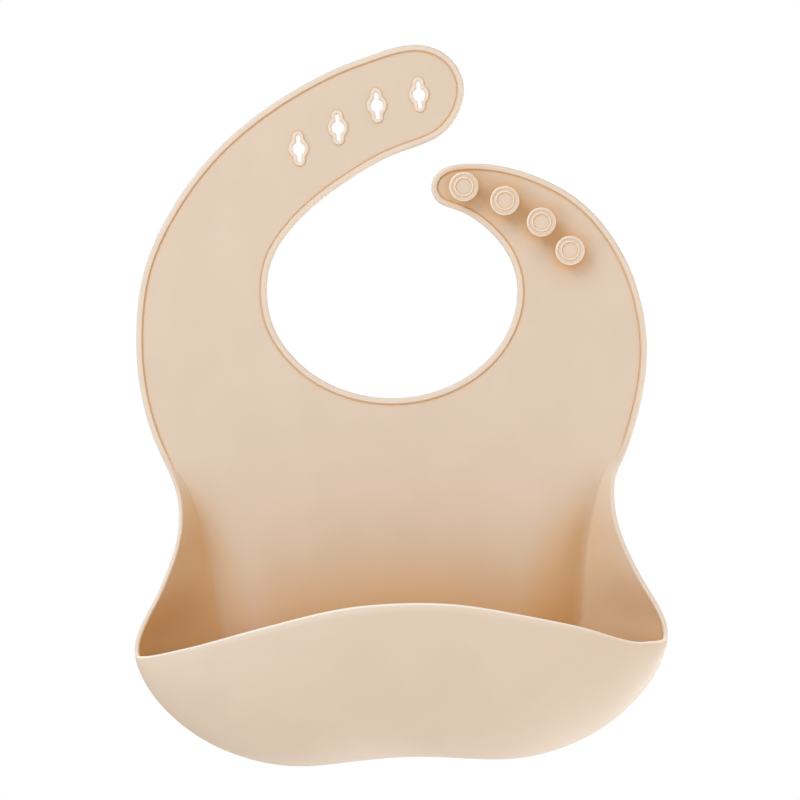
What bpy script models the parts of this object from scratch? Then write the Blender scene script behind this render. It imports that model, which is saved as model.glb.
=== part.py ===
"""Silicone bib with a catch-all pocket, as one flexible moulding split where it bends.

It hangs as it is worn: +Z up, the front faces -Y, and the origin is the middle of the neck
opening on the rear face. All outlines are in millimetres in the XZ plane, as (x, z) or (x, y, z).
"""

import math

import bmesh
import bpy
import numpy as np
from mathutils import Vector

MM = 0.001

# Sheet and pocket wall thickness
SHEET = 2.0
POCKET_WALL = 1.6
BEAD_WIDTH = 2.5
BEAD_RISE = 1.0
OUTLINE_STEP = 5.0

# Gaps between neighbouring pieces: everywhere, under the front wall, and round the rear wall,
# where the floor turns past it
GAP = 0.3
KEEL_GAP = 0.9
FOLD_GAP = 0.75

# Neck opening: a half ellipse below, and the straps' inner edges above
NECK_HALF_WIDTH = 54.2
NECK_DROP = 48.0

# Where the moulding flexes
WAIST_Z = -62.0
SHOULDER_Z = -4.0
FLEX_HALF = 10.0
TIP_FLEX_ANGLE = math.radians(140)

# The pocket hangs a little to one side: it is drawn straight, then turned about the neck's lowest point
LEAN = math.radians(2.0)
LEAN_PIVOT = (0.0, -NECK_DROP)

# Slots
SLOT_CENTRES = ((-40.2, 60.9), (-23.3, 70.0), (-6.5, 79.5), (11.7, 84.2))
SLOT_TILT = math.radians(4)
SLOT_HOLE_RADIUS = 2.75
SLOT_SLIT_HALF = 0.85
SLOT_LENGTH = 11.9
COLLAR_WALL = 1.6
COLLAR_RISE = 0.5

# Buttons
BUTTON_CENTRES = ((30.9, 44.1), (48.5, 38.1), (64.2, 28.9), (76.5, 16.7))
BUTTON_RADIUS = 6.25
BUTTON_STEM_RADIUS = 3.2
BUTTON_STAND = 6.0
BUTTON_CAP = 2.4
BUTTON_RING_RADIUS = 3.85
BUTTON_DISH = 0.4

# The outer edge from the left waist up to the slotted end, and back along its inner edge to the neck
LEFT_EDGE = (
    (-99.4, -72.0), (-104.9, -58.0), (-109.0, -40.0), (-110.3, -18.0), (-107.2, 7.0),
    (-98.6, 28.5), (-81.0, 54.4), (-55.0, 77.8), (-23.3, 95.9), (-8.0, 101.6),
    (9.9, 105.8), (23.3, 101.1), (30.0, 90.0), (29.0, 79.0), (21.5, 68.4),
    (1.3, 59.6), (-17.7, 49.2), (-33.0, 38.2), (-46.9, 23.3), (-53.2, 9.0),
)
# From the neck round the button end, and down the outer edge to the right waist
RIGHT_EDGE = (
    (53.2, 8.0), (48.8, 18.1), (40.0, 28.0), (29.0, 34.7), (19.6, 38.9), (16.7, 45.4),
    (20.8, 52.2), (33.0, 55.2), (48.0, 53.8), (62.9, 49.0), (80.2, 38.7), (94.4, 23.2),
    (103.2, 6.5), (108.3, -12.0), (109.4, -28.0), (107.3, -45.5), (103.2, -62.0), (99.0, -74.0),
)

# Half outlines of the pocket, drawn straight, from the waist or the corner to the middle
FOLD = (
    (97.8, -64.0), (92.2, -72.0), (85.8, -86.0), (82.6, -100.0), (80.6, -116.0), (79.0, -133.0),
    (76.2, -149.0), (70.0, -163.0), (56.0, -177.0), (36.0, -186.5), (14.0, -190.0), (0.0, -190.2),
)
RIM = (
    (102.6, 0.0, -64.0), (99.4, 0.0, -72.0), (95.2, -0.9, -84.0), (94.2, -4.2, -96.0), (95.9, -8.0, -107.0),
    (100.2, -13.0, -119.0), (104.9, -17.4, -129.0), (109.9, -22.0, -138.5),
    (112.6, -25.4, -146.5), (112.7, -26.8, -151.4),
)
KEEL = (
    (112.7, -26.8, -151.4), (107.6, -23.0, -166.2), (96.8, -18.6, -180.2), (82.2, -15.0, -191.5),
    (60.0, -12.8, -200.4), (42.5, -12.0, -202.6), (24.0, -12.0, -201.5), (0.0, -12.0, -200.2),
)
LIP = (
    (112.7, -26.8, -151.4), (104.0, -30.8, -152.4), (94.0, -33.8, -150.0), (80.0, -37.6, -146.0),
    (50.0, -42.6, -138.6), (24.0, -45.2, -133.4), (0.0, -46.0, -132.0),
)
# How far down the keel, as a share of its half length, each gusset reaches before the floor
FLOOR_START = 0.52

# Each hinge: where it is, the way its axis runs, the hinge that carries it, and the pieces it turns
TIP_FLEX_ALONG = (math.cos(TIP_FLEX_ANGLE), 0.0, math.sin(TIP_FLEX_ANGLE))
HINGES = (
    (
        "waist_hinge", (0.0, -SHEET / 2, WAIST_Z), (-1.0, 0.0, 0.0), None,
        ("pocket_back", "left_gusset", "right_gusset"),
    ),
    (
        "pocket_hinge", (5.0, -SHEET / 2, -190.0), (math.cos(LEAN), 0.0, math.sin(LEAN)), "waist_hinge",
        ("pocket_front", "pocket_floor"),
    ),
    (
        "slotted_strap_hinge", (-80.0, -SHEET / 2, SHOULDER_Z), (-1.0, 0.0, 0.0), None,
        ("slotted_strap", "slotted_strap_bend"),
    ),
    (
        "slotted_end_hinge", (75 * TIP_FLEX_ALONG[0], -SHEET / 2, 75 * TIP_FLEX_ALONG[2]), TIP_FLEX_ALONG,
        "slotted_strap_hinge",
        ("slotted_end", "slot_collar_1", "slot_collar_2", "slot_collar_3", "slot_collar_4"),
    ),
    (
        "button_strap_hinge", (80.0, -SHEET / 2, SHOULDER_Z), (-1.0, 0.0, 0.0), None,
        ("button_strap", "button_1", "button_2", "button_3", "button_4"),
    ),
)

SILICONE = (0.775, 0.62, 0.47)


def smooth_curve(points, count):
    """Count points at even lengths along a cubic spline through the given ones."""
    points = np.array(points, float)
    knots = np.concatenate([[0], np.cumsum(np.linalg.norm(np.diff(points, axis=0), axis=1) ** 0.75)])
    span = np.diff(knots)
    size = len(points)
    lhs = np.eye(size)
    rhs = np.zeros_like(points)
    for i in range(1, size - 1):
        lhs[i, i - 1 : i + 2] = span[i - 1], 2 * (span[i - 1] + span[i]), span[i]
        slopes = (points[i + 1] - points[i]) / span[i] - (points[i] - points[i - 1]) / span[i - 1]
        rhs[i] = 6 * slopes
    bend = np.linalg.solve(lhs, rhs)
    at = np.linspace(0, knots[-1], 60 * size)
    i = np.clip(np.searchsorted(knots, at, side="right") - 1, 0, size - 2)
    h = span[i][:, None]
    after = (at - knots[i])[:, None]
    before = h - after
    dense = (
        (bend[i] * before**3 + bend[i + 1] * after**3) / (6 * h)
        + (points[i] / h - bend[i] * h / 6) * before
        + (points[i + 1] / h - bend[i + 1] * h / 6) * after
    )
    lengths = np.concatenate([[0], np.cumsum(np.linalg.norm(np.diff(dense, axis=0), axis=1))])
    wanted = np.linspace(0, lengths[-1], count)
    return np.stack([np.interp(wanted, lengths, dense[:, k]) for k in range(dense.shape[1])], axis=1)


def lean(points):
    """Turns points of the pocket about the neck's lowest point, as the pocket hangs."""
    points = np.array(points, float)
    x = points[:, 0] - LEAN_PIVOT[0]
    z = points[:, -1] - LEAN_PIVOT[1]
    points[:, 0] = LEAN_PIVOT[0] + x * math.cos(LEAN) - z * math.sin(LEAN)
    points[:, -1] = LEAN_PIVOT[1] + x * math.sin(LEAN) + z * math.cos(LEAN)
    return points


def offset(points, distance):
    """An open outline moved sideways, to the right of its own direction."""
    along = np.gradient(points, axis=0)
    along /= np.linalg.norm(along, axis=1)[:, None]
    return points + distance * np.stack([along[:, 1], -along[:, 0]], axis=1)


def sheet_edge():
    """The free edge of the sheet, from the left waist over both straps to the right waist."""
    neck = [
        (NECK_HALF_WIDTH * math.cos(math.radians(a)), NECK_DROP * math.sin(math.radians(a)))
        for a in range(184, 357, 16)
    ]
    points = (*LEFT_EDGE, *neck, *RIGHT_EDGE)
    length = np.linalg.norm(np.diff(np.array(points), axis=0), axis=1).sum()
    return smooth_curve(points, round(length / OUTLINE_STEP))


def keyhole(radius, slit_half, length):
    """A round hole with a slit above and below it, as one closed outline about its centre."""
    meets = math.asin(slit_half / radius)
    end = length / 2 - slit_half
    right = np.linspace(-math.pi / 2 + meets, math.pi / 2 - meets, 10)
    cap = np.linspace(0, math.pi, 8)
    outline = [(radius * math.cos(a), radius * math.sin(a)) for a in right]
    outline += [(slit_half * math.cos(a), end + slit_half * math.sin(a)) for a in cap]
    return np.array(outline + [(-x, -z) for x, z in outline])


def at_slot(outline, centre):
    turn = np.array([[math.cos(SLOT_TILT), -math.sin(SLOT_TILT)], [math.sin(SLOT_TILT), math.cos(SLOT_TILT)]])
    return outline @ turn.T + np.array(centre)


def clear_scene():
    for obj in list(bpy.data.objects):
        bpy.data.objects.remove(obj, do_unlink=True)


def new_collection(name):
    made = bpy.data.collections.new(name)
    bpy.context.scene.collection.children.link(made)
    return made


def silicone(name):
    material = bpy.data.materials.new(name)
    material.use_nodes = True
    shader = material.node_tree.nodes["Principled BSDF"]
    shader.inputs["Base Color"].default_value = (*SILICONE, 1)
    shader.inputs["Roughness"].default_value = 0.55
    shader.inputs["Metallic"].default_value = 0.0
    return material


def as_part(obj):
    """Puts a finished object among the parts, with its own material."""
    PARTS.objects.link(obj)
    obj.data.materials.append(silicone(obj.name))
    return obj


def as_cutter(obj):
    CUTTERS.objects.link(obj)
    obj.hide_render = True
    obj.display_type = "WIRE"
    return obj


def plate(name, outlines, front, back):
    """A flat plate between two Y planes. The first outline is its edge and the others are holes."""
    curve = bpy.data.curves.new(name, "CURVE")
    curve.dimensions = "2D"
    curve.fill_mode = "BOTH"
    curve.extrude = (back - front) / 2 * MM
    for outline in outlines:
        spline = curve.splines.new("POLY")
        spline.points.add(len(outline) - 1)
        for point, (x, z) in zip(spline.points, outline):
            point.co = (x * MM, z * MM, 0, 1)
        spline.use_cyclic_u = True
    drawn = bpy.data.objects.new(name + "_outline", curve)
    bpy.context.scene.collection.objects.link(drawn)
    drawn.rotation_euler = (math.pi / 2, 0, 0)
    drawn.location = (0, (front + back) / 2 * MM, 0)
    bpy.context.view_layer.update()
    mesh = bpy.data.meshes.new_from_object(drawn.evaluated_get(bpy.context.evaluated_depsgraph_get()))
    mesh.name = name
    body = bmesh.new()
    body.from_mesh(mesh)
    bmesh.ops.remove_doubles(body, verts=body.verts, dist=1e-6)
    bmesh.ops.recalc_face_normals(body, faces=body.faces)
    body.to_mesh(mesh)
    body.free()
    mesh.shade_smooth()
    mesh.set_sharp_from_angle(angle=math.radians(40))
    made = bpy.data.objects.new(name, mesh)
    made.matrix_world = drawn.matrix_world
    bpy.data.objects.remove(drawn, do_unlink=True)
    bpy.data.curves.remove(curve)
    return made


def boolean(obj, cutter, operation):
    modifier = obj.modifiers.new(cutter.name, "BOOLEAN")
    modifier.operation = operation
    modifier.object = cutter
    modifier.solver = "EXACT"


def blank_sheet():
    """The whole flat sheet down to the pocket, with its raised edge bead."""
    edge = sheet_edge()
    bottom = WAIST_Z - 2 * FLEX_HALF
    drop = np.array([(edge[-1][0], bottom), (edge[0][0], bottom)])
    blank = as_cutter(plate("blank", [np.concatenate([edge, drop])], -SHEET - BEAD_RISE, 0))
    inner = offset(edge, BEAD_WIDTH)
    below = np.array([(inner[-1][0], 2 * bottom), (inner[0][0], 2 * bottom)])
    recess = plate("bead_recess", [np.concatenate([inner, below])], -SHEET - 4 * BEAD_RISE, -SHEET)
    boolean(blank, as_cutter(recess), "DIFFERENCE")
    return blank


def cut_region(name, blank, corners):
    """The part of the blank that lies inside a polygon."""
    region = as_cutter(plate(name + "_region", [corners], -20, 20))
    made = bpy.data.objects.new(name, blank.data.copy())
    made.matrix_world = blank.matrix_world
    for modifier in blank.modifiers:
        boolean(made, modifier.object, modifier.operation)
    boolean(made, region, "INTERSECT")
    return as_part(made)


def band(x_low, x_high, z_low, z_high):
    return [(x_low, z_low), (x_high, z_low), (x_high, z_high), (x_low, z_high)]


def across_tip(low, high):
    """A band square to the slotted strap, between two distances from the line of its bend."""
    along = np.array([math.cos(TIP_FLEX_ANGLE), math.sin(TIP_FLEX_ANGLE)])
    past = np.array([along[1], -along[0]])
    return [along * 25 + past * low, along * 25 + past * high,
            along * 140 + past * high, along * 140 + past * low]


def build_sheet():
    blank = blank_sheet()
    half = GAP / 2
    side = 130.0
    waist_top = WAIST_Z + FLEX_HALF
    waist_foot = WAIST_Z - FLEX_HALF
    shoulder_foot = SHOULDER_Z - FLEX_HALF
    shoulder_top = SHOULDER_Z + FLEX_HALF
    cut_region("waist", blank, band(-side, side, waist_foot + half, waist_top - half))
    cut_region("chest_panel", blank, band(-side, side, waist_top + half, shoulder_foot - half))
    for name, x_low, x_high in (("left_shoulder", -side, 0), ("right_shoulder", 0, side)):
        cut_region(name, blank, band(x_low, x_high, shoulder_foot + half, shoulder_top - half))
    cut_region("button_strap", blank, band(0, side, shoulder_top + half, 57.5))

    low, _, _, low_far = across_tip(-FLEX_HALF - half, 0)
    foot = shoulder_top + half
    cut_region("slotted_strap", blank, [(-side, foot), (low[0], foot), low, low_far, (-side, low_far[1])])
    cut_region("slotted_strap_bend", blank, across_tip(-FLEX_HALF + half, FLEX_HALF - half))
    high, _, _, high_far = across_tip(FLEX_HALF + half, 0)
    tip = cut_region(
        "slotted_end", blank, [high, high_far, (high_far[0], side), (60, side), (60, 58), (0, 58)]
    )
    collar = keyhole(
        SLOT_HOLE_RADIUS + COLLAR_WALL, SLOT_SLIT_HALF + COLLAR_WALL, SLOT_LENGTH + 2 * COLLAR_WALL
    )
    socket = keyhole(
        SLOT_HOLE_RADIUS + COLLAR_WALL + GAP,
        SLOT_SLIT_HALF + COLLAR_WALL + GAP,
        SLOT_LENGTH + 2 * (COLLAR_WALL + GAP),
    )
    hole = keyhole(SLOT_HOLE_RADIUS, SLOT_SLIT_HALF, SLOT_LENGTH)
    for number, centre in enumerate(SLOT_CENTRES, 1):
        cutter = as_cutter(plate(f"slot_{number}_cutter", [at_slot(socket, centre)], -20, 20))
        boolean(tip, cutter, "DIFFERENCE")
        ring = [at_slot(collar, centre), at_slot(hole, centre)]
        as_part(plate(f"slot_collar_{number}", ring, -SHEET - COLLAR_RISE, 0))


def build_buttons():
    """Mushroom buttons: a turned stem and cap with a shallow ring on the cap."""
    cap_back = BUTTON_STAND - BUTTON_CAP
    profile = (
        (0, BUTTON_STAND - BUTTON_DISH),
        (BUTTON_RING_RADIUS - 0.4, BUTTON_STAND - BUTTON_DISH),
        (BUTTON_RING_RADIUS, BUTTON_STAND),
        (BUTTON_RADIUS - 0.9, BUTTON_STAND),
        (BUTTON_RADIUS - 0.2, BUTTON_STAND - 0.5),
        (BUTTON_RADIUS, BUTTON_STAND - 1.2),
        (BUTTON_RADIUS - 0.4, cap_back + 0.3),
        (BUTTON_RADIUS - 1.2, cap_back),
        (BUTTON_STEM_RADIUS, cap_back - 0.3),
        (BUTTON_STEM_RADIUS, GAP),
        (0, GAP),
    )
    mesh = bpy.data.meshes.new("button_profile")
    points = [(r * MM, 0, h * MM) for r, h in profile]
    mesh.from_pydata(points, [(i, i + 1) for i in range(len(points) - 1)], [])
    for number, (x, z) in enumerate(BUTTON_CENTRES, 1):
        button = bpy.data.objects.new(f"button_{number}", mesh.copy())
        turned = button.modifiers.new("turn", "SCREW")
        turned.axis = "Z"
        turned.steps = 32
        turned.render_steps = 32
        turned.use_merge_vertices = True
        turned.merge_threshold = 1e-6
        turned.use_smooth_shade = True
        button.rotation_euler = (math.pi / 2, 0, 0)
        button.location = (x * MM, -SHEET * MM, z * MM)
        as_part(button)


def bezier(a, b, c, d, steps):
    t = np.linspace(0, 1, steps)[:, None, None]
    return (1 - t) ** 3 * a + 3 * (1 - t) ** 2 * t * b + 3 * (1 - t) * t**2 * c + t**3 * d


def lofted(name, rows):
    """A sheet lofted through rows of points on its outer skin, thickened inwards, a gap short each end."""
    rows = rows.copy()
    for end, inside in ((0, 1), (-1, -2)):
        run = rows[:, inside] - rows[:, end]
        rows[:, end] += run * GAP / np.linalg.norm(run, axis=1)[:, None]
    steps, count, _ = rows.shape
    mesh = bpy.data.meshes.new(name)
    body = bmesh.new()
    grid = [[body.verts.new(point * MM) for point in row] for row in rows]
    for i in range(steps - 1):
        for j in range(count - 1):
            body.faces.new((grid[i][j], grid[i + 1][j], grid[i + 1][j + 1], grid[i][j + 1]))
    body.to_mesh(mesh)
    body.free()
    mesh.shade_smooth()
    made = bpy.data.objects.new(name, mesh)
    shell = made.modifiers.new("wall", "SOLIDIFY")
    shell.thickness = POCKET_WALL * MM
    shell.offset = -1
    shell.use_even_offset = True
    return as_part(made)


def edge_run(fold_count, keel_count):
    """The fold and the outer edge it faces, point for point, on the right half: rim, then keel."""
    rim = smooth_curve(RIM, fold_count)
    keel = smooth_curve(KEEL, keel_count)
    outer = np.concatenate([rim, keel[1:]])
    fold = smooth_curve(FOLD, 400)
    # each outer point faces the fold point at the same share of the way round
    share_at_corner = 0.48
    share = np.concatenate(
        [
            np.linspace(0, share_at_corner, fold_count),
            np.linspace(share_at_corner, 1, keel_count)[1:],
        ]
    )
    at = np.linspace(0, 1, 400)
    return np.stack([np.interp(share, at, fold[:, k]) for k in range(2)], axis=1), outer


def whole(half):
    """Both sides of a right half, leant as the pocket hangs."""
    if half.shape[1] == 2:
        half = np.stack([half[:, 0], np.zeros(len(half)), half[:, 1]], axis=1)
    other = half[-2::-1].copy()
    other[:, 0] *= -1
    return lean(np.concatenate([half, other]))


def build_pocket():
    rim_count, keel_count = 14, 22
    fold, outer = edge_run(rim_count, keel_count)
    fold, outer = whole(fold), whole(outer)
    out = outer - fold
    reach = np.linalg.norm(out[:, [0, 2]], axis=1)[:, None]
    out_dir = np.stack([out[:, 0], 0 * out[:, 0], out[:, 2]], axis=1) / reach
    depth = out[:, 1][:, None]
    back = np.array([0, 1.0, 0])
    start = fold + out_dir * (FOLD_GAP - GAP / 2)
    finish = outer + back * KEEL_GAP / 2
    rows = bezier(start, start + out_dir * reach * 0.45, finish - back * depth * 0.5, finish, 9)
    # the side walls run from the waist past the corner, and the floor joins them
    corner = rim_count - 1
    floor = corner + round(FLOOR_START * (keel_count - 1))
    last = len(fold) - 1
    for name, side in (("right_gusset", rows[:, : floor + 1]), ("left_gusset", rows[:, last - floor :])):
        cut_under_waist(lofted(name, side))
    lofted("pocket_floor", rows[:, floor : last - floor + 1])

    # the front wall rises from the keel to the lip
    keel = whole(smooth_curve(KEEL, keel_count)) - back * KEEL_GAP / 2
    lip = whole(smooth_curve(LIP, keel_count))
    keel, lip = keel[1:-1], lip[1:-1]
    rise = np.linalg.norm(lip - keel, axis=1)[:, None]
    down = (keel - lip) / rise - 0.6 * back
    down /= np.linalg.norm(down, axis=1)[:, None]
    wall = bezier(keel, keel - back * rise * 0.3, lip + down * rise * 0.35, lip, 11)
    lofted("pocket_front", wall)
    build_pocket_back(whole(smooth_curve(FOLD, 30)))


def build_pocket_back(fold):
    """The flat rear wall inside the fold, cut level under the waist."""
    edge = offset(fold[:, [0, 2]][::-1], -GAP / 2)
    cut_under_waist(as_part(plate("pocket_back", [edge], -SHEET, 0)))


def cut_under_waist(obj):
    """Cuts a piece of the pocket level under the waist."""
    low = WAIST_Z - FLEX_HALF - GAP / 2
    boolean(obj, as_cutter(plate(obj.name + "_top", [band(-130, 130, low, 0)], -20, 20)), "DIFFERENCE")


def attach(child, parent):
    """Parents without moving the child."""
    child.parent = parent
    child.matrix_parent_inverse = parent.matrix_world.inverted()


def build_hinges():
    """An empty on each hinge, its local X along the axis, with the pieces that turn about it as children."""
    for name, place, axis, carrier, pieces in HINGES:
        hinge = bpy.data.objects.new(name, None)
        hinge.empty_display_size = 0.02
        hinge.location = Vector(place) * MM
        hinge.rotation_euler = Vector(axis).to_track_quat("X", "Z").to_euler()
        PARTS.objects.link(hinge)
        bpy.context.view_layer.update()
        for piece in pieces:
            attach(bpy.data.objects[piece], hinge)
        if carrier:
            attach(hinge, bpy.data.objects[carrier])


clear_scene()
PARTS = new_collection("silicone_bib")
CUTTERS = new_collection("cutters")
build_sheet()
build_buttons()
build_pocket()
build_hinges()
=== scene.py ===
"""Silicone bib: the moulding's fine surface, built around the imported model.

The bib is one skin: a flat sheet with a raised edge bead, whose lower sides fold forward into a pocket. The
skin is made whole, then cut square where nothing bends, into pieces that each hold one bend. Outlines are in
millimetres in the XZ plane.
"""

import math

import bmesh
import bpy
import numpy as np
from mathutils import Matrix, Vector, geometry


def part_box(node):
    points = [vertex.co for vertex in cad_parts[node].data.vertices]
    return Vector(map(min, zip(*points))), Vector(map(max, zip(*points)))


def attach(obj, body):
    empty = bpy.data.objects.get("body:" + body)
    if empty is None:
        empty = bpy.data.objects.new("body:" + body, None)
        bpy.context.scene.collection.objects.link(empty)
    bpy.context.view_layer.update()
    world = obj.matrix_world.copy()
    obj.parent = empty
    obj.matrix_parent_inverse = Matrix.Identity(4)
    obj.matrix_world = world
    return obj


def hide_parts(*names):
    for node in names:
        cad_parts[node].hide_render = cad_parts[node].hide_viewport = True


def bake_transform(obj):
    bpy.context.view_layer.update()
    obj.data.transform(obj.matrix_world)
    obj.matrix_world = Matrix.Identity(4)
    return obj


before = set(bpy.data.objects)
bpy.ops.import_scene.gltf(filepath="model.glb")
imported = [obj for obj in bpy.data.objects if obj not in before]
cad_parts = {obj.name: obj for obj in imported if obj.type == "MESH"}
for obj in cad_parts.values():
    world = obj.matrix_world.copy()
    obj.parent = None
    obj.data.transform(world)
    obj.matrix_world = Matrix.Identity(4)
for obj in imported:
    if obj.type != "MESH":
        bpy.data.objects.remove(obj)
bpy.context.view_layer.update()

MM = 0.001

# Sheet, bead and pocket walls
SHEET = 2.0
POCKET_WALL = 1.7
LIP_SWELL = 0.35
BEAD_WIDTH = 2.5
BEAD_RISE = 0.55
BEAD_STEP = 0.5
GROOVE_AT = 2.85
GROOVE_HALF = 0.28
GROOVE_DEPTH = 0.2
RING_WIDTH = 4.6
EDGE_ROUND = 1.0

# Neck opening and the lines where the moulding bends
NECK_HALF_WIDTH = 54.2
NECK_DROP = 48.0
NECK_EDGE_DROP = 46.7
LEAN = math.radians(2.0)
POCKET_SHIFT = 0.5
TIP_BEND_ANGLE = math.radians(140)

# Slots and buttons
SLOT_TILT = math.radians(4)
SLOT_HOLE_RADIUS = 2.75
SLOT_SLIT_HALF = 0.85
SLOT_LENGTH = 11.9
COLLAR_WALL = 1.6
COLLAR_RISE = 0.5
SOCKET_OVERLAP = 0.25
BUTTON_RADIUS = 6.25
BUTTON_STEM_RADIUS = 3.2
BUTTON_STAND = 6.0
BUTTON_CAP = 2.4
BUTTON_RING_RADIUS = 3.85
BUTTON_SIDES = 80

# The outer edge from the left waist up to the slotted end, and back along its inner edge to the neck
LEFT_EDGE = (
    (-99.4, -72.0), (-104.9, -58.0), (-109.0, -40.0), (-110.3, -18.0), (-107.2, 7.0),
    (-98.6, 28.5), (-81.0, 54.4), (-55.0, 77.8), (-23.3, 95.9), (-8.0, 101.6),
    (9.9, 105.8), (23.6, 101.3), (30.7, 90.2), (29.6, 78.4), (21.2, 67.0),
    (1.3, 58.5), (-17.3, 48.2), (-32.3, 37.3), (-46.1, 22.8), (-52.9, 8.9),
)
# From the neck round the button end, and down the outer edge to the right waist
RIGHT_EDGE = (
    (53.0, 8.0), (48.4, 18.0), (39.5, 27.7), (28.6, 34.2), (19.4, 38.3), (17.0, 45.2),
    (21.0, 51.6), (33.0, 54.5), (47.8, 53.3), (62.7, 48.8), (80.5, 38.9), (94.8, 23.4),
    (103.8, 6.6), (108.9, -12.0), (110.1, -28.0), (108.1, -45.5), (103.9, -61.9), (99.6, -73.8),
)
# Half outlines of the pocket, drawn straight: fold and rim from the waist, keel and lip from the corner
FOLD = (
    (100.0, -64.0), (94.0, -74.0), (87.4, -88.0), (84.0, -101.0), (81.2, -116.0), (79.3, -133.0),
    (76.6, -149.0), (70.0, -163.0), (56.0, -177.0), (36.0, -186.5), (14.0, -190.0), (0.0, -190.2),
)
RIM = (
    (95.2, -2.0, -84.0), (94.2, -5.2, -96.0), (95.9, -8.8, -107.0), (100.2, -13.0, -119.0),
    (104.9, -17.4, -129.0), (109.9, -22.0, -138.5), (112.6, -25.4, -146.5),
)
KEEL = (
    (112.7, -26.8, -151.4), (107.6, -23.0, -166.2), (96.8, -18.6, -180.2), (82.2, -15.0, -191.5),
    (60.0, -12.8, -200.4), (42.5, -12.0, -202.6), (24.0, -12.0, -201.5), (0.0, -12.0, -200.2),
)
LIP = (
    (112.7, -26.8, -151.4), (110.6, -28.4, -152.4), (104.0, -30.8, -152.4), (94.0, -33.8, -150.0),
    (80.0, -37.6, -146.0), (50.0, -42.6, -138.6), (24.0, -45.2, -133.4), (0.0, -46.0, -132.0),
)
LIP_DIP = 1.3
LIP_DIP_AT = 98.0
LIP_DIP_WIDTH = 13.0
LIP_END = 112.0
LIP_END_FADE = 8.0
WAIST = (102.6, 0.0, -64.0)
FOLD_AT_CORNER = 0.48
FOLD_SET_BACK = 6.0
FOLD_SWEEP = 23.0
FOLD_ROUND = 4.0
# The heights between which the back sweeps rearwards, and over how far that starts and stops
SWEEP_TOP = -70.0
SWEEP_TOP_FADE = 50.0
SWEEP_FOOT = -192.0
SWEEP_FOOT_FADE = 40.0

# Colours of the silicone: its lit pigment, the painted shade of hollows and of creases, the painted
# highlight of its edges, and the studio's air. The lit and shaded ones, the air and the lamps started from a
# fit to the colours of one front view, and some of them were then changed. The crease shade and edge
# highlight were chosen one by one.
LIT_LOW = (0.700, 0.602, 0.508)
LIT_HIGH = (0.722, 0.622, 0.528)
PAINTED_SHADE = (0.72, 0.45, 0.21)
CREASE_SHADE = (0.60, 0.42, 0.28)
EDGE_HIGHLIGHT = (0.93, 0.89, 0.84)
# share of painted highlight over the edge bead
BEAD_HIGHLIGHT = 0.25
AIR = (0.38, 0.315, 0.25)
# How much of the painted warm shade shows where the sky is hidden, on surfaces from those facing left (0) to
# those facing right (1). This painted shade stands in for the light of that one view, so it is no property
# of silicone.
SHADE_BY_FACING = ((0.0, 0.9), (0.19, 0.9), (0.33, 0.66), (0.5, 0.95), (0.7, 1.7), (1.0, 1.7))

# How finely the skin is divided
COLUMN_STEP = 2.2
FINE_STEP = 0.7
FILL_STEP = 3.2
RING_ROWS = 22
WALL_ROWS = 26
CAP_ROWS = 7

# How strongly the floor glows on the bib, and how strongly for the camera
STAGE_GLOW = 0.1
STAGE_SEEN = 0.72


def ease(t):
    """From 0 to 1 with flat ends."""
    t = np.clip(t, 0, 1)
    return t * t * (3 - 2 * t)


def mix(a, b, share):
    """From a to b by a share."""
    return a + (b - a) * share


def unit(v):
    """The vectors at length one."""
    return v / np.linalg.norm(v, axis=-1, keepdims=True)


def lean(points):
    """Turns points of the pocket about the neck's lowest point, as the pocket hangs."""
    points = np.array(points, float)
    x, z = points[..., 0].copy(), points[..., -1] + NECK_DROP
    points[..., 0] = x * math.cos(LEAN) - z * math.sin(LEAN) + POCKET_SHIFT
    points[..., -1] = x * math.sin(LEAN) + z * math.cos(LEAN) - NECK_DROP
    return points


def in_space(points):
    """Outline points as (x, y, z)."""
    points = np.array(points, float)
    if points.shape[1] == 3:
        return points
    return np.stack([points[:, 0], np.zeros(len(points)), points[:, 1]], axis=1)


def both_sides(half):
    """A right half outline carried on through the middle to the left side."""
    half = in_space(half)
    other = half[-2::-1].copy()
    other[:, 0] *= -1
    return lean(np.concatenate([half, other]))


def dense_curve(points, closed=False, fine=60):
    """Close-set points on a cubic spline through the given ones."""
    points = np.array(points, float)
    wrap = 4 if closed else 0
    if closed:
        points = np.concatenate([points[-wrap:], points, points[: wrap + 1]])
    span = np.linalg.norm(np.diff(points, axis=0), axis=1) ** 0.75
    size = len(points)
    lhs = np.eye(size)
    rhs = np.zeros_like(points)
    for i in range(1, size - 1):
        lhs[i, i - 1 : i + 2] = span[i - 1], 2 * (span[i - 1] + span[i]), span[i]
        slopes = (points[i + 1] - points[i]) / span[i] - (points[i] - points[i - 1]) / span[i - 1]
        rhs[i] = 6 * slopes
    bend = np.linalg.solve(lhs, rhs)
    place = np.linspace(wrap, size - 1 - wrap, fine * (size - 1 - 2 * wrap) + 1)
    i = np.clip(place.astype(int), 0, size - 2)
    h = span[i][:, None]
    after = (place - i)[:, None] * h
    before = h - after
    return (
        (bend[i] * before**3 + bend[i + 1] * after**3) / (6 * h)
        + (points[i] / h - bend[i] * h / 6) * before
        + (points[i + 1] / h - bend[i + 1] * h / 6) * after
    )


def lengths(curve):
    """How far along the curve each of its points lies."""
    return np.concatenate([[0], np.cumsum(np.linalg.norm(np.diff(curve, axis=0), axis=1))])


def read_at(curve, at, run=None):
    """The curve's points at these lengths along it."""
    run = lengths(curve) if run is None else run
    return np.stack([np.interp(at, run, curve[:, k]) for k in range(curve.shape[1])], axis=1)


def nearest(curve, point):
    """The number of the curve's point closest to this one."""
    return int(np.argmin(np.linalg.norm(curve - np.array(point), axis=1)))


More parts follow.
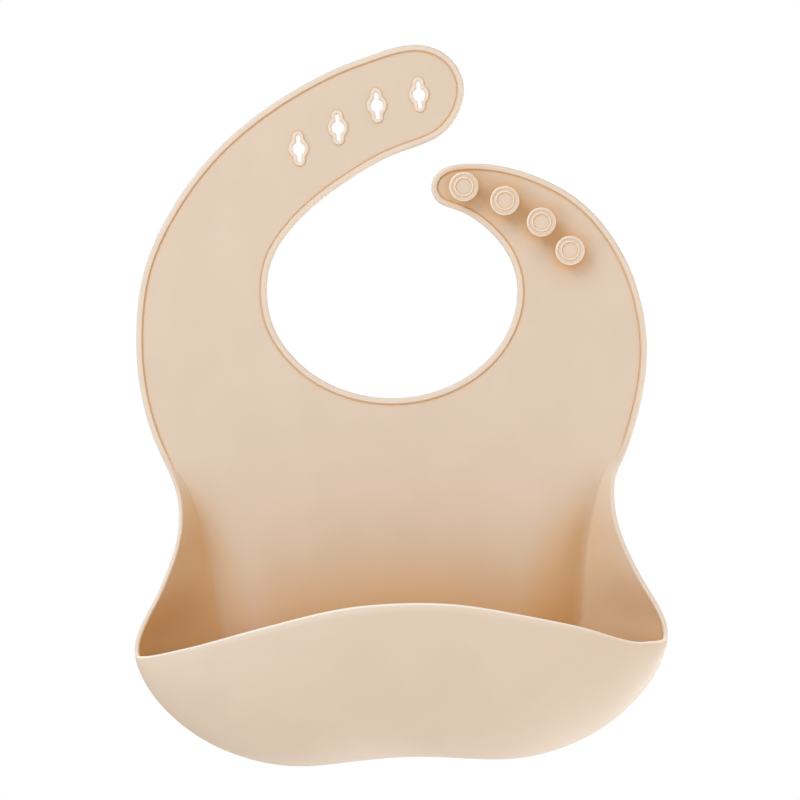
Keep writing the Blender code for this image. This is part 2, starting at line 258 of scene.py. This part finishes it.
def set_back(points):
    """How far behind the sheet's plane (x, z) points lie, as the back sweeps rearwards to each fold."""
    fold = dense_curve(both_sides(FOLD), fine=16)[:, [0, 2]]
    gap = np.full(len(points), 1e9)
    for chunk in np.array_split(np.arange(len(points)), 1 + len(points) // 2000):
        gap[chunk] = np.linalg.norm(points[chunk][:, None] - fold[None], axis=2).min(axis=1)
    z = points[:, 1]
    below_top = ease((SWEEP_TOP - z) / SWEEP_TOP_FADE)
    above_foot = ease((z - SWEEP_FOOT) / SWEEP_FOOT_FADE)
    depth = FOLD_SET_BACK * below_top * above_foot
    rounded = np.sqrt(gap**2 + FOLD_ROUND**2) - FOLD_ROUND
    return depth * np.maximum(1 - rounded / FOLD_SWEEP, 0) ** 2


def back_normals(points):
    """The directions that the back of the sheet faces at (x, z) points."""
    step = 0.4
    slope_x = (set_back(points + (step, 0)) - set_back(points - (step, 0))) / (2 * step)
    slope_z = (set_back(points + (0, step)) - set_back(points - (0, step))) / (2 * step)
    return unit(np.stack([-slope_x, np.ones(len(points)), -slope_z], axis=1))


def spaced(total, fine_ends=15.0):
    """Places from 0 to total, close together at both ends and a column's step apart elsewhere."""
    at = np.linspace(0, total, 4000)
    from_end = np.minimum(at, total - at)
    step = mix(FINE_STEP, COLUMN_STEP, ease(from_end / fine_ends))
    count = np.concatenate([[0], np.cumsum((1 / step[1:] + 1 / step[:-1]) / 2 * np.diff(at))])
    return np.interp(np.linspace(0, count[-1], round(count[-1]) + 1), count, at)


def bezier(a, b, c, d, steps):
    """Points on the cubic from a to d, drawn towards b and c."""
    t = np.linspace(0, 1, steps)[:, None]
    return (1 - t) ** 3 * a + 3 * (1 - t) ** 2 * t * b + 3 * (1 - t) * t**2 * c + t**3 * d


# --- The moulding's columns: square sections through its edge, all the way round ---


class Columns:
    """Where each section through the edge starts and ends, from the left corner round the keel first."""

    def __init__(self):
        keel = both_sides(KEEL)[::-1]
        neck = [
            (NECK_HALF_WIDTH * math.cos(math.radians(a)), NECK_EDGE_DROP * math.sin(math.radians(a)))
            for a in range(356, 183, -16)
        ]
        right_rim = lean(in_space(RIM))[::-1]
        left_rim = lean(np.array(RIM) * (-1, 1, 1))
        over = in_space((*RIGHT_EDGE[::-1], *neck, *LEFT_EDGE[::-1]))
        loop = dense_curve(np.concatenate([keel, right_rim, over, left_rim]), closed=True)
        corner = nearest(loop, keel[-1])
        low, high = loop[: corner + 1], loop[corner:]
        run_low, run_high = lengths(low), lengths(high)
        at_low, at_high = spaced(run_low[-1]), spaced(run_high[-1])
        self.keels = len(at_low)
        self.edge = np.concatenate([read_at(low, at_low, run_low), read_at(high, at_high, run_high)[1:-1]])
        self.count = len(self.edge)

        # shares of the way from each waist to its corner, on the free edge
        waist = lean(np.array([WAIST, np.array(WAIST) * (-1, 1, 1)]))
        right_waist = run_high[nearest(high, waist[0])]
        left_waist = run_high[nearest(high, waist[1])]
        free = at_high[1:-1]
        down_right = (right_waist - free) / right_waist
        down_left = (free - left_waist) / (run_high[-1] - left_waist)
        self.down = np.concatenate([np.ones(self.keels), np.maximum(down_right, down_left)])

        # the inner end of each section: beside the edge, and on the fold below the waist
        along = unit(np.roll(self.edge, -1, axis=0) - np.roll(self.edge, 1, axis=0))
        inward = unit(np.stack([-along[:, 2], 0 * along[:, 0], along[:, 0]], axis=1))
        beside = self.edge * (1, 0, 1) + inward * RING_WIDTH
        fold = dense_curve(both_sides(FOLD))
        fold_run = lengths(fold)
        middle = fold_run[-1] / 2
        keel_share = 2 * at_low / run_low[-1]
        share = np.concatenate([1 - np.abs(1 - keel_share), self.down[self.keels :]])
        reach = np.concatenate(
            [
                FOLD_AT_CORNER + (1 - FOLD_AT_CORNER) * share[: self.keels],
                FOLD_AT_CORNER * np.maximum(share[self.keels :], 0),
            ]
        )
        left_side = self.edge[:, 0] < self.edge[np.argmax(share[: self.keels]), 0]
        at_fold = np.where(left_side, fold_run[-1] - reach * middle, reach * middle)
        on_fold = read_at(fold, at_fold, fold_run)
        on_pocket = ease(self.down / 0.16)[:, None]
        self.start = mix(beside, on_fold, on_pocket)
        self.start[:, 1] = set_back(self.start[:, [0, 2]])
        lip = dense_curve(both_sides(LIP)[::-1])
        # the lip hangs a little lower near its right end than near its left end
        out = np.abs(lip[:, 0])
        dip = np.exp(-(((out - LIP_DIP_AT) / LIP_DIP_WIDTH) ** 2))
        fade = ease((LIP_END - out) / LIP_END_FADE)
        lip[:, 2] -= LIP_DIP * np.sign(lip[:, 0]) * dip * fade
        self.lip = read_at(lip, at_low / run_low[-1] * lengths(lip)[-1])


def ring_places(end, down):
    """Where a section's rows sit, from its inner end to the edge: close-set over the bead and groove."""
    even = np.linspace(0, end, RING_ROWS)
    groove = RING_WIDTH - GROOVE_AT
    near, far = groove - 1.9 * GROOVE_HALF, groove + 1.9 * GROOVE_HALF
    marks = [0, near, far, RING_WIDTH - BEAD_WIDTH + BEAD_STEP, end]
    close = np.interp(np.linspace(0, 1, RING_ROWS), [0, 0.09, 0.62, 0.76, 1], marks)
    return mix(close, even, ease(down / 0.3)) if down > 0 else close * (end / close[-1])


def section(columns, i):
    """The outer skin of one section: its points, how far each is from the free edge, and its directions."""
    start, edge = columns.start[i], columns.edge[i]
    out = (edge - start) * (1, 0, 1)
    reach = np.linalg.norm(out)
    out = out / reach
    ahead = np.array([0, -1.0, 0])
    turned = ease(columns.down[i])
    straight = unit(edge - start)
    arrive = unit(mix(straight, ahead, ease((columns.down[i] - 0.6) / 0.4)))
    first = reach * mix(0.33, 0.17, turned)
    last = mix(reach / 3, -edge[1] * 0.5, turned)
    curve = bezier(start, start + out * first, edge - arrive * last, edge, 60)
    ring_length = lengths(curve)[-1]
    if i < columns.keels:
        lip = columns.lip[i]
        rise = np.linalg.norm(lip - edge)
        if rise > 1e-6:
            down = unit((edge - lip) / rise + 0.55 * ahead)
            wall = bezier(edge, edge + ahead * rise * 0.3, lip + down * rise * 0.36, lip, 80)
            curve = np.concatenate([curve, wall[1:]])
    run = lengths(curve)
    end = run[-1] - EDGE_ROUND
    split = min(ring_length, end)
    ring = ring_places(split, columns.down[i])
    wall_share = np.linspace(0, 1, WALL_ROWS + 1)[1:]
    at = np.concatenate([ring, split + (end - split) * wall_share])
    ahead_of = read_at(curve, np.minimum(at + 0.05, run[-1]), run)
    behind = read_at(curve, np.maximum(at - 0.05, 0), run)
    return read_at(curve, at, run), run[-1] - at, unit(ahead_of - behind)


def thickness(columns, from_edge):
    """How thick the moulding is at each row: the sheet, its edge bead and groove, and the pocket's lip."""
    down = ease(columns.down)[:, None]
    fade = 1 - ease((columns.down[:, None] - 0.02) / 0.14)
    bead = ease((BEAD_WIDTH + BEAD_STEP / 2 - from_edge) / BEAD_STEP) * BEAD_RISE
    groove = np.exp(-(((from_edge - GROOVE_AT) / GROOVE_HALF) ** 2)) * GROOVE_DEPTH
    lip = ease((2.6 - from_edge) / 1.8) * LIP_SWELL * down
    return mix(SHEET, POCKET_WALL, down) + (bead - groove) * fade + lip


def skin_grid(columns):
    """Closed section paths from the back round the edge to the front: an array of (column, row) points."""
    parts = [section(columns, i) for i in range(columns.count)]
    outer = np.stack([p[0] for p in parts])
    from_edge = np.stack([p[1] for p in parts])
    across = np.stack([p[2] for p in parts])
    along = np.roll(outer, -1, axis=0) - np.roll(outer, 1, axis=0)
    normal = unit(np.cross(along, across))
    for _ in range(2):
        normal = unit(np.roll(normal, 1, axis=0) + 2 * normal + np.roll(normal, -1, axis=0))
    normal[:, 0] = unit(normal[:, 0] + back_normals(columns.start[:, [0, 2]]))
    for row in range(1, 5):
        normal[:, row] = unit(mix(normal[:, 0], normal[:, row], row / 5))
    depth = thickness(columns, from_edge)[..., None]
    inner = outer - normal * depth
    middle = (outer[:, -1] + inner[:, -1]) / 2
    half = depth[:, -1] / 2
    turn = np.pi * np.arange(1, CAP_ROWS + 1) / (CAP_ROWS + 1)
    cap = [
        middle + normal[:, -1] * half * math.cos(a) + across[:, -1] * EDGE_ROUND * math.sin(a) for a in turn
    ]
    # painted highlight: paler over the edge bead, along the very edge of the pocket and its lip, and round
    # each section's end
    pale = ease((BEAD_WIDTH + 0.15 - from_edge) / 0.5) * BEAD_HIGHLIGHT
    pale *= np.maximum(1 - ease(columns.down[:, None] / 0.16), ease((1.6 - from_edge) / 0.9))
    on_lip = np.where(np.arange(columns.count) < columns.keels, 1.0, 0.0)
    for _ in range(8):
        on_lip = (np.roll(on_lip, 1) + on_lip + np.roll(on_lip, -1)) / 3
    pale = np.maximum(pale, ease((1.2 - from_edge) / 0.6) * on_lip[:, None])
    tip = np.maximum(BEAD_HIGHLIGHT, on_lip)[:, None]
    pale = np.concatenate([pale, np.repeat(tip, CAP_ROWS, axis=1), pale[:, ::-1]], axis=1)
    return np.concatenate([outer, np.stack(cap, axis=1), inner[:, ::-1]], axis=1), pale


def keyhole(grown=0.0, steps=88):
    """A slot's outline about its centre, grown by a distance: a round hole run into an upright slit."""
    angle = np.linspace(-math.pi / 2, 1.5 * math.pi, 2000)
    up, side = np.abs(np.sin(angle)), np.abs(np.cos(angle)) + 1e-9
    end = SLOT_LENGTH / 2 - SLOT_SLIT_HALF

    def reach(out):
        half = SLOT_SLIT_HALF + out
        beside = half / side
        over = end * up + np.sqrt(np.maximum(half**2 - (end * side) ** 2, 0))
        slit = np.where(beside * up < end, beside, over)
        return (slit**12 + (SLOT_HOLE_RADIUS + out) ** 12) ** (1 / 12)

    middle = reach(COLLAR_WALL / 2)[:, None] * np.stack([np.cos(angle), np.sin(angle)], axis=1)
    run = lengths(middle)
    chosen = np.interp(np.linspace(0, run[-1], steps + 1)[:-1], run, angle)
    far = np.interp(chosen, angle, reach(grown))
    return far[:, None] * np.stack([np.cos(chosen), np.sin(chosen)], axis=1)


def slot_centres():
    """The middle of each slot collar, as (x, z) in millimetres."""
    boxes = [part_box(f"slot_collar_{n}") for n in range(1, 5)]
    return [((low[0] + high[0]) / 2 / MM, (low[2] + high[2]) / 2 / MM) for low, high in boxes]


def at_slot(outline, centre):
    """A keyhole's outline tilted and moved to its place."""
    c, s = math.cos(SLOT_TILT), math.sin(SLOT_TILT)
    return outline @ np.array([[c, s], [-s, c]]) + np.array(centre)


def inside(points, outline):
    """Which (x, z) points lie inside a closed outline."""
    x, z = points[:, 0][:, None], points[:, 1][:, None]
    a, b = outline, np.roll(outline, -1, axis=0)
    crosses = (a[:, 1] > z) != (b[:, 1] > z)
    with np.errstate(divide="ignore", invalid="ignore"):
        at = a[:, 0] + (z - a[:, 1]) * (b[:, 0] - a[:, 0]) / (b[:, 1] - a[:, 1])
    return (crosses & (x < at)).sum(axis=1) % 2 == 1


def filled(outline, holes):
    """Triangles over a flat region: (points, triangles). The first points are the outlines', in order."""
    low, high = outline.min(axis=0), outline.max(axis=0)
    rows = np.arange(low[1], high[1], FILL_STEP * 0.866)
    grid = [
        (x, z)
        for k, z in enumerate(rows)
        for x in np.arange(low[0] + FILL_STEP / 2 * (k % 2), high[0], FILL_STEP)
    ]
    grid = np.array(grid)
    rings = [outline, *holes]
    grid = grid[inside(grid, outline)]
    for hole in holes:
        grid = grid[~inside(grid, hole)]
    borders = np.concatenate(rings)
    clear = np.full(len(grid), True)
    for chunk in np.array_split(np.arange(len(grid)), 20):
        gap = np.linalg.norm(grid[chunk][:, None] - borders[None], axis=2).min(axis=1)
        clear[chunk] = gap > FILL_STEP * 0.6
    points = np.concatenate([borders, grid[clear]])
    edges = []
    first = 0
    for ring in rings:
        edges += [(first + k, first + (k + 1) % len(ring)) for k in range(len(ring))]
        first += len(ring)
    made = geometry.delaunay_2d_cdt([Vector(p) for p in points], edges, [], 0, 1e-7)
    triangles = np.array([f for f in made[2] if len(f) == 3])
    origin = [ids[0] for ids in made[3]]
    triangles = np.array(origin)[triangles]
    middles = points[triangles].mean(axis=1)
    keep = inside(middles, outline)
    for hole in holes:
        keep &= ~inside(middles, hole)
    return points, triangles[keep]


def moulding():
    """The whole bib without its collars and buttons, as one closed bmesh in metres."""
    columns = Columns()
    skin, highlight_shares = skin_grid(columns)
    count, rows, _ = skin.shape
    socket = keyhole(COLLAR_WALL - SOCKET_OVERLAP)
    holes = [at_slot(socket, centre) for centre in slot_centres()]
    points, triangles = filled(columns.start[:, [0, 2]], holes)
    body = bmesh.new()
    # each point's share of painted highlight
    pale = body.verts.layers.float.new("pale")
    flat = body.verts.layers.int.new("flat")
    normal = body.verts.layers.float_vector.new("skin_normal")
    body.faces.layers.int.new("cap")
    verts = [[body.verts.new(Vector(p) * MM) for p in column] for column in skin]
    for column, shares in zip(verts, highlight_shares):
        for vert, share in zip(column, shares):
            vert[pale] = share

    behind, faces_to = set_back(points[count:]), back_normals(points[count:])

    def sheet_verts(side, y, facing):
        rest = [
            body.verts.new(Vector((x, y + far, z)) * MM) for (x, z), far in zip(points[count:], behind)
        ]
        for vert, direction in zip(rest, faces_to * facing):
            vert[flat] = 1
            vert[normal] = direction
        return [verts[k][side] for k in range(count)] + rest

    back, front = sheet_verts(0, 0.0, 1), sheet_verts(rows - 1, -SHEET, -1)
    for a, b, c in triangles:
        body.faces.new((back[a], back[b], back[c]))
        body.faces.new((front[c], front[b], front[a]))
    first = count
    for hole in holes:
        for k in range(len(hole)):
            a, b = first + k, first + (k + 1) % len(hole)
            body.faces.new((back[a], front[a], front[b], back[b]))
        first += len(hole)
    for i in range(count):
        here, there = verts[i], verts[(i + 1) % count]
        for j in range(rows - 1):
            body.faces.new((here[j], there[j], there[j + 1], here[j + 1]))
    bmesh.ops.remove_doubles(body, verts=body.verts, dist=2e-6)
    bmesh.ops.dissolve_degenerate(body, edges=body.edges, dist=1e-7)
    bmesh.ops.recalc_face_normals(body, faces=body.faces)
    body.normal_update()
    for vert in body.verts:
        if not vert[flat]:
            vert[normal] = vert.normal
    return body


# --- Pieces ---


def cut(body, point, normal):
    """Keeps what lies behind a plane, in place, and closes the cut."""
    made = bmesh.ops.bisect_plane(
        body,
        geom=body.verts[:] + body.edges[:] + body.faces[:],
        plane_co=Vector(point) * MM,
        plane_no=normal,
        clear_outer=True,
    )
    rim = [e for e in made["geom_cut"] if isinstance(e, bmesh.types.BMEdge) and e.is_boundary]
    caps = bmesh.ops.holes_fill(body, edges=rim, sides=0)["faces"]
    flag = body.faces.layers.int["cap"]
    for face in bmesh.ops.triangulate(body, faces=caps)["faces"]:
        face[flag] = 1


def keep_side(body, left):
    """Of the parts left apart by a cut, keeps those on the left or on the right."""
    seen = set()
    for start in body.verts[:]:
        if start in seen:
            continue
        island, todo = [start], [start]
        seen.add(start)
        while todo:
            for edge in todo.pop().link_edges:
                for vert in edge.verts:
                    if vert not in seen:
                        seen.add(vert)
                        island.append(vert)
                        todo.append(vert)
        if (sum(v.co.x for v in island) < 0) != left:
            bmesh.ops.delete(body, geom=island, context="VERTS")


def finished(name, body, material, kept_normals=False):
    """A bmesh as an object in the scene, with the whole moulding's normals where it was cut."""
    mesh = bpy.data.meshes.new(name)
    body.to_mesh(mesh)
    mesh.materials.append(material)
    mesh.shade_smooth()
    if kept_normals:
        skin = body.verts.layers.float_vector["skin_normal"]
        flag = body.faces.layers.int["cap"]
        normals = []
        for face in body.faces:
            flat = face.normal.copy()
            normals += [flat if face[flag] else loop.vert[skin].normalized() for loop in face.loops]
        mesh.normals_split_custom_set(normals)
    made = bpy.data.objects.new(name, mesh)
    bpy.context.scene.collection.objects.link(made)
    return made


def build_moulding(material):
    """The moulding, cut where it is rigid into pieces that each hold one of its bends."""
    whole = moulding()
    along = Vector((math.cos(TIP_BEND_ANGLE), 0, math.sin(TIP_BEND_ANGLE)))
    past = Vector((along.z, 0, -along.x))
    split = math.radians(163)
    split_past = Vector((math.sin(split), 0, -math.cos(split)))
    arm_z, pocket_z = -30.0, -80.0
    up, down = Vector((0, 0, 1)), Vector((0, 0, -1))
    tip_start, tip_end = past * -0.012, past * 0.012
    pieces = (
        ("chest_and_waist", [((0, 0, arm_z), up), ((0, 0, pocket_z), down)], None,
         ("chest", "pocket", (0, 0, -0.049), (0, 0, -0.077)), ("chest_panel", "waist")),
        ("slotted_strap_root", [((0, 0, arm_z), down), ((0, 0, 0), split_past)], True,
         ("chest", "slotted_strap", (0, 0, -0.018), (0, 0, 0.010)), ("left_shoulder", "slotted_strap")),
        ("slotted_strap_end", [((0, 0, arm_z), down), ((0, 0, 0), -split_past)], True,
         ("slotted_strap", "slotted_end", tip_start, tip_end), ("slotted_strap_bend", "slotted_end")),
        ("button_strap_skin", [((0, 0, arm_z), down)], False,
         ("chest", "button_strap", (0, 0, -0.018), (0, 0, 0.010)), ("right_shoulder", "button_strap")),
        ("catch_pocket", [((0, 0, pocket_z), up)], None,
         ("pocket", "pocket_front", (0, -0.0025, 0), (0, -0.0175, 0)),
         ("pocket_back", "left_gusset", "right_gusset", "pocket_floor", "pocket_front")),
    )
    for name, planes, left, bend, nodes in pieces:
        body = whole.copy()
        for number, (point, normal) in enumerate(planes):
            cut(body, point, normal)
            if number == 0 and left is not None:
                keep_side(body, left)
        piece = finished(name, body, material, kept_normals=True)
        body.free()
        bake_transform(piece)
        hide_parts(*nodes)
    whole.free()


def shell_of(rings, highlight_shares, closed):
    """A closed body through rings of points in millimetres, its two ends joined or filled."""
    body = bmesh.new()
    # each ring's share of painted highlight
    pale = body.verts.layers.float.new("pale")
    verts = [[body.verts.new(Vector(p) * MM) for p in ring] for ring in rings]
    for ring, share in zip(verts, highlight_shares):
        for vert in ring:
            vert[pale] = share
    count = len(verts[0])
    for i in range(len(verts) if closed else len(verts) - 1):
        here, there = verts[i], verts[(i + 1) % len(verts)]
        for k in range(count):
            body.faces.new((here[k], here[(k + 1) % count], there[(k + 1) % count], there[k]))
    if not closed:
        body.faces.new(verts[0][::-1])
        body.faces.new(verts[-1])
    bmesh.ops.recalc_face_normals(body, faces=body.faces)
    return body


def build_collars(material):
    """A raised collar round each keyhole slot, rounded over into the hole."""
    top = SHEET + COLLAR_RISE
    shape = (
        # how far out from the hole's wall, how far in front of the rear face, and the share of painted
        # highlight
        (0.0, 0.4, 0.6), (0.12, 0.12, 0.6), (0.4, 0.0, 0.6), (COLLAR_WALL - 0.25, 0.0, 0.0),
        (COLLAR_WALL - 0.25, SHEET - 0.5, 0.0), (COLLAR_WALL + 0.12, SHEET - 0.16, 0.0),
        (COLLAR_WALL + 0.08, SHEET + 0.1, 0.1), (COLLAR_WALL - 0.04, top - 0.18, 0.4),
        (COLLAR_WALL - 0.25, top - 0.04, 0.7), (COLLAR_WALL - 0.5, top, 0.8), (0.5, top, 0.8),
        (0.22, top - 0.05, 0.8), (0.06, top - 0.2, 0.8), (0.0, top - 0.45, 0.8), (0.0, SHEET / 2, 0.6),
    )
    for number, centre in enumerate(slot_centres(), 1):
        rings = [
            [(x, -rise, z) for x, z in at_slot(keyhole(out), centre)] for out, rise, _ in shape
        ]
        body = shell_of(rings, [share * 0.5 for _, _, share in shape], closed=True)
        collar = finished(f"slot_collar_ring_{number}", body, material)
        body.free()
        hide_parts(f"slot_collar_{number}")
        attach(collar, "slotted_end")


def arc(centre, radius, start, end, steps=7):
    """Points (r, h) on a part circle of a turned profile, between two angles in degrees."""
    return [
        (centre[0] + radius * math.cos(math.radians(a)), centre[1] + radius * math.sin(math.radians(a)))
        for a in np.linspace(start, end, steps)
    ]


def button_profile():
    """From the middle of the cap out over its rim and down the stem to its flared foot, as (r, h)."""
    top, under = BUTTON_STAND, BUTTON_STAND - BUTTON_CAP
    ring, rim = BUTTON_RING_RADIUS, 0.75
    dish, ledge = top - 0.45, top - 0.3
    profile = [(0.02, dish), (ring * 0.5, dish), (ring - 0.55, dish)]
    profile += arc((ring - 0.5, dish + 0.12), 0.12, 275, 350, 4)
    profile += arc((ring, top - 0.22), 0.27, 170, 10, 8)
    profile += arc((ring + 0.55, ledge + 0.15), 0.15, 190, 265, 4)
    profile += [(BUTTON_RADIUS - rim - 0.75, ledge), (BUTTON_RADIUS - rim - 0.5, ledge + 0.02)]
    profile += arc((BUTTON_RADIUS - rim, top - rim), rim, 112, -65, 16)
    profile += [(BUTTON_RADIUS - 1.1, under + 0.12), (BUTTON_STEM_RADIUS + 1.0, under)]
    profile += arc((BUTTON_STEM_RADIUS + 0.7, under - 0.7), 0.7, 90, 180, 5)
    profile += arc((BUTTON_STEM_RADIUS + 0.9, 0.9), 0.9, 180, 262, 7)
    return profile + [(BUTTON_STEM_RADIUS + 1.0, -0.25)]


def build_buttons(material):
    """Mushroom buttons turned from one profile, each growing out of the strap on a flared foot."""
    profile = button_profile()
    rim = BUTTON_RADIUS - 0.55
    # painted highlight on the cap's rim and round its ring
    highlight_shares = [
        max(ease((r - rim) / 0.35), ease(1.2 - abs(r - BUTTON_RING_RADIUS) / 0.25), 0.1)
        if h > BUTTON_STAND - 1.0
        else 0.0
        for r, h in profile
    ]
    turns = [2 * math.pi * k / BUTTON_SIDES for k in range(BUTTON_SIDES)]
    for number in range(1, 5):
        low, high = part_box(f"button_{number}")
        x, z = (low[0] + high[0]) / 2 / MM, (low[2] + high[2]) / 2 / MM
        rings = [[(x + r * math.cos(a), -SHEET - h, z + r * math.sin(a)) for a in turns] for r, h in profile]
        body = shell_of(rings, highlight_shares, closed=False)
        button = finished(f"mushroom_button_{number}", body, material)
        body.free()
        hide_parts(f"button_{number}")
        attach(button, "button_strap")


# --- Material ---


def silicone():
    """Satin, faintly mottled silicone, with painted highlights on its edges and rims and painted warm shade
    where the sky is hidden.
    """
    material = bpy.data.materials.new("soft_silicone")
    material.use_nodes = True
    tree = material.node_tree
    shader = tree.nodes["Principled BSDF"]
    link = tree.links.new

    def node(kind, **inputs):
        made = tree.nodes.new(kind)
        for key, value in inputs.items():
            made.inputs[key.replace("_", " ")].default_value = value
        return made

    def blend(share, a, b):
        made = tree.nodes.new("ShaderNodeMix")
        made.data_type = "RGBA"
        link(share, made.inputs[0])
        for socket, value in ((made.inputs[6], a), (made.inputs[7], b)):
            if isinstance(value, tuple):
                socket.default_value = (*value, 1)
            else:
                link(value, socket)
        return made.outputs[2]

    def ranged(value, low, high, to_low, to_high):
        made = node("ShaderNodeMapRange", From_Min=low, From_Max=high, To_Min=to_low, To_Max=to_high)
        made.interpolation_type = "SMOOTHSTEP"
        link(value, made.inputs["Value"])
        return made.outputs["Result"]

    where = node("ShaderNodeTexCoord").outputs["Object"]

    def noise(scale, detail):
        made = node("ShaderNodeTexNoise", Scale=scale, Detail=detail, Roughness=0.5)
        link(where, made.inputs["Vector"])
        return made.outputs["Fac"]

    def open_sky(distance, samples):
        made = node("ShaderNodeAmbientOcclusion", Distance=distance)
        made.samples = samples
        return made.outputs["AO"]

    # the pigment, a little uneven
    tone = blend(ranged(noise(38.0, 3.0), 0.3, 0.7, 0, 1), LIT_LOW, LIT_HIGH)
    # painted shade, warm and deep inside the pocket and round the buttons, standing in for the shade and
    # bounced light there
    turned = tree.nodes.new("ShaderNodeSeparateXYZ")
    link(tree.nodes.new("ShaderNodeNewGeometry").outputs["Normal"], turned.inputs[0])
    shade_share = tree.nodes.new("ShaderNodeMath")
    shade_share.operation = "MULTIPLY"
    link(ranged(open_sky(0.11, 5), 0.4, 0.96, 1, 0), shade_share.inputs[0])
    side = tree.nodes.new("ShaderNodeValToRGB")
    link(ranged(turned.outputs["X"], -1, 1, 0, 1), side.inputs[0])
    stops = side.color_ramp.elements
    for place in SHADE_BY_FACING[1:-1]:
        stops.new(place[0])
    for stop, (place, share) in zip(stops, SHADE_BY_FACING):
        stop.position = place
        stop.color = (share, share, share, 1)
    link(side.outputs[0], shade_share.inputs[1])
    tone = blend(shade_share.outputs[0], tone, PAINTED_SHADE)
    tone = blend(ranged(open_sky(0.012, 4), 0.45, 0.97, 0.9, 0), tone, PAINTED_SHADE)
    # painted shade: creases darkened to fine tan lines
    tone = blend(ranged(open_sky(0.0022, 3), 0.4, 0.9, 0.25, 0), tone, CREASE_SHADE)
    # painted highlight: paler bead, lip, collar tops and button rims
    edge = tree.nodes.new("ShaderNodeAttribute")
    edge.attribute_name = "pale"
    tone = blend(edge.outputs["Fac"], tone, EDGE_HIGHLIGHT)
    link(tone, shader.inputs["Base Color"])

    link(ranged(noise(240.0, 4.0), 0.3, 0.7, 0.50, 0.60), shader.inputs["Roughness"])
    grain = node("ShaderNodeBump", Strength=0.08, Distance=0.0002)
    link(noise(1500.0, 2.0), grain.inputs["Height"])
    link(grain.outputs["Normal"], shader.inputs["Normal"])
    shader.inputs["Specular IOR Level"].default_value = 0.3
    shader.inputs["Sheen Weight"].default_value = 0.1
    shader.inputs["Sheen Roughness"].default_value = 0.45
    return material


# --- Stage ---


def stage_material():
    """A pale floor that glows a little on the bib, and that the camera itself sees nearly white."""
    material = bpy.data.materials.new("pale_stage")
    material.use_nodes = True
    shader = material.node_tree.nodes["Principled BSDF"]
    shader.inputs["Base Color"].default_value = (0.74, 0.70, 0.65, 1)
    shader.inputs["Roughness"].default_value = 0.9
    shader.inputs["Specular IOR Level"].default_value = 0.1
    shader.inputs["Emission Color"].default_value = (1, 1, 1, 1)
    tree = material.node_tree
    glow = tree.nodes.new("ShaderNodeMapRange")
    glow.inputs["To Min"].default_value = STAGE_GLOW
    glow.inputs["To Max"].default_value = STAGE_SEEN
    tree.links.new(tree.nodes.new("ShaderNodeLightPath").outputs["Is Camera Ray"], glow.inputs["Value"])
    tree.links.new(glow.outputs["Result"], shader.inputs["Emission Strength"])
    return material


def build_stage():
    """A pale floor, well below the hanging bib."""
    mesh = bpy.data.meshes.new("floor")
    reach = 5.0
    mesh.from_pydata(
        [(-reach, -reach, 0), (reach, -reach, 0), (reach, reach, 0), (-reach, reach, 0)], [], [(0, 1, 2, 3)]
    )
    mesh.materials.append(stage_material())
    floor = bpy.data.objects.new("floor", mesh)
    floor.location.z = -1.0
    bpy.context.scene.collection.objects.link(floor)


def area_light(name, direction, distance, size, power, colour=(1, 1, 1)):
    """A round soft light, from a direction given as degrees to the right of the camera and upwards."""
    right, up = (math.radians(a) for a in direction)
    middle = Vector((0, 0, -0.05))
    away = Vector((math.sin(right) * math.cos(up), -math.cos(right) * math.cos(up), math.sin(up)))
    light = bpy.data.lights.new(name, "AREA")
    light.shape = "DISK"
    light.size = size
    light.energy = power
    light.color = colour
    made = bpy.data.objects.new(name, light)
    made.location = middle + away * distance
    made.rotation_euler = away.to_track_quat("Z", "Y").to_euler()
    bpy.context.scene.collection.objects.link(made)


def light_scene():
    """Warm, dim air that the camera sees as white, and eight soft lamps, the strongest high on the left."""
    world = bpy.data.worlds.new("studio")
    bpy.context.scene.world = world
    world.use_nodes = True
    tree = world.node_tree
    background = tree.nodes["Background"]
    seen = tree.nodes.new("ShaderNodeLightPath").outputs["Is Camera Ray"]
    air = tree.nodes.new("ShaderNodeMix")
    air.data_type = "RGBA"
    tree.links.new(seen, air.inputs[0])
    air.inputs[6].default_value = (*AIR, 1)
    air.inputs[7].default_value = (1, 1, 1, 1)
    tree.links.new(air.outputs[2], background.inputs["Color"])
    area_light("key", (-45, 38), 2.2, 1.3, 22.5, (0.82, 0.91, 1.0))
    area_light("left", (-58, -4), 2.2, 1.3, 10.5, (1.0, 0.97, 0.94))
    area_light("front", (0, 8), 2.2, 1.6, 4)
    area_light("top", (15, 65), 2.2, 1.3, 7.5)
    area_light("right", (60, 5), 2.2, 1.3, 10.5, (1.0, 0.76, 0.52))
    area_light("low_right", (98, -32), 1.2, 0.6, 8, (0.74, 0.88, 1.0))
    area_light("low_right_front", (62, -40), 1.2, 0.7, 1.6, (0.81, 0.9, 1.0))
    area_light("back", (172, 12), 2.2, 1.4, 21)


def place_camera():
    """Straight on, square to the sheet, with the bib filling nine tenths of the height."""
    camera = bpy.data.cameras.new("camera")
    camera.sensor_width = 36.0
    distance = 1.2
    view_width = 0.3456
    camera.lens = camera.sensor_width * distance / view_width
    made = bpy.data.objects.new("camera", camera)
    made.location = (0.0035, -distance, -0.0475)
    made.rotation_euler = (math.pi / 2, 0, 0)
    bpy.context.scene.collection.objects.link(made)
    bpy.context.scene.camera = made


place_camera()
silicone_skin = silicone()
build_moulding(silicone_skin)
build_collars(silicone_skin)
build_buttons(silicone_skin)
build_stage()
light_scene()
bpy.context.scene.view_settings.view_transform = "Standard"
